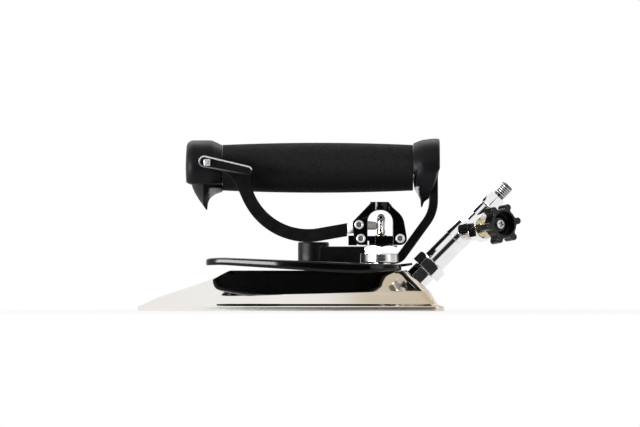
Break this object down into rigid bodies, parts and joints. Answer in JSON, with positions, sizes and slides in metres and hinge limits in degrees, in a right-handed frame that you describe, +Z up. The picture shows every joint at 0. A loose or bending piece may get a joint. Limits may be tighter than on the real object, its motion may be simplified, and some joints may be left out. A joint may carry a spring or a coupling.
{
  "type": "steam pressing iron",
  "caption": "Hose-fed steam pressing iron: pointed plated sole, black heat shield, foam grip on a rear bracket, thumb lever working a steam valve, and a hand-wheel shut-off on the inlet.",
  "frame": {"origin": "middle of the sole's bottom face, on the centre line", "axes": "nose toward -X, inlet and hose toward +X, lever side toward -Y, +Z up from the sole"},
  "size_m": [0.2759, 0.114, 0.1242],
  "materials": {
    "plated_casting": "mirror-polished warm nickel plate",
    "gloss_black": "gloss black stove enamel",
    "satin_black": "satin black paint",
    "black_plastic": "satin moulded plastic",
    "wheel_plastic": "black moulded resin",
    "black_foam": "closed-cell foam rubber, fine grain",
    "bright_chrome": "bright chrome plate",
    "brushed_nickel": "turned and brushed",
    "bright_screws": "bright zinc",
    "plain_steel": "plain drawn steel",
    "brass": "turned brass",
    "sealing": "fluoropolymer packing",
    "phenolic": "phenolic insulating spacer"
  },
  "bodies": {
    "iron": {"sole_plate": "plated_casting", "iron_body": "plated_casting", "heat_shield": "gloss_black", "yoke": "gloss_black", "valve_head": "gloss_black", "handle_base": "satin_black", "handle_bracket": "satin_black", "front_cap": "black_plastic", "rear_cap": "black_plastic", "grip_sleeve": "black_foam", "inlet_adapter": "bright_chrome", "inlet_nut": "bright_chrome", "steam_pipe": "bright_chrome", "control_body": "bright_chrome", "hose_nipple": "bright_chrome", "bonnet_nut": "bright_chrome", "valve_body": "brushed_nickel", "union_nut": "brushed_nickel", "pivot_screw": "bright_screws", "yoke_screws": "bright_screws", "yoke_nuts": "bright_screws", "base_screws": "bright_screws", "handle_bolt": "bright_screws", "handle_core": "plain_steel", "core_plug": "plain_steel", "return_spring": "plain_steel", "spindle_gland": "brass", "gland_ring": "brass", "stem_packing": "sealing", "spindle_packing": "sealing", "union_gasket": "sealing", "nipple_washer": "sealing", "shield_spacers": "phenolic"},
    "lever": {"lever_arm": "satin_black", "thumb_tab": "black_plastic", "tab_rivet": "bright_screws", "lever_tang": "brushed_nickel"},
    "stem": {"valve_stem": "brushed_nickel", "valve_disc": "brushed_nickel"},
    "spindle": {"control_spindle": "brushed_nickel"},
    "wheel": {"hand_wheel": "wheel_plastic", "wheel_screw": "bright_screws"}
  },
  "joints": [
    {"name": "lever_press", "type": "hinge", "parent": "iron", "child": "lever", "pos_m": [0.0492, -0.0235, 0.06198], "axis": [0, -1, 0], "range_deg": [0, 8.5], "stiffness_Nm_per_rad": 2, "springref_deg": -8.59},
    {"name": "stem_lift", "type": "slide", "parent": "iron", "child": "stem", "axis": [0, 0, 1], "range_m": [0, 0.00236], "deforming": ["return_spring"]},
    {"name": "spindle_rise", "type": "slide", "parent": "iron", "child": "spindle", "axis": [0.557, -0.8227, 0.1132], "range_m": [0, 0.00375]},
    {"name": "wheel_turn", "type": "hinge", "parent": "spindle", "child": "wheel", "pos_m": [0.15102, -0.03957, 0.06228], "axis": [0.557, -0.8227, 0.1132], "range_deg": [0, 900.5]}
  ],
  "couplings": [
    {"joint": "stem_lift", "follows": "lever_press", "m_per_rad": 0.0158},
    {"joint": "wheel_turn", "follows": "spindle_rise", "rad_per_m": 4188.8}
  ]
}
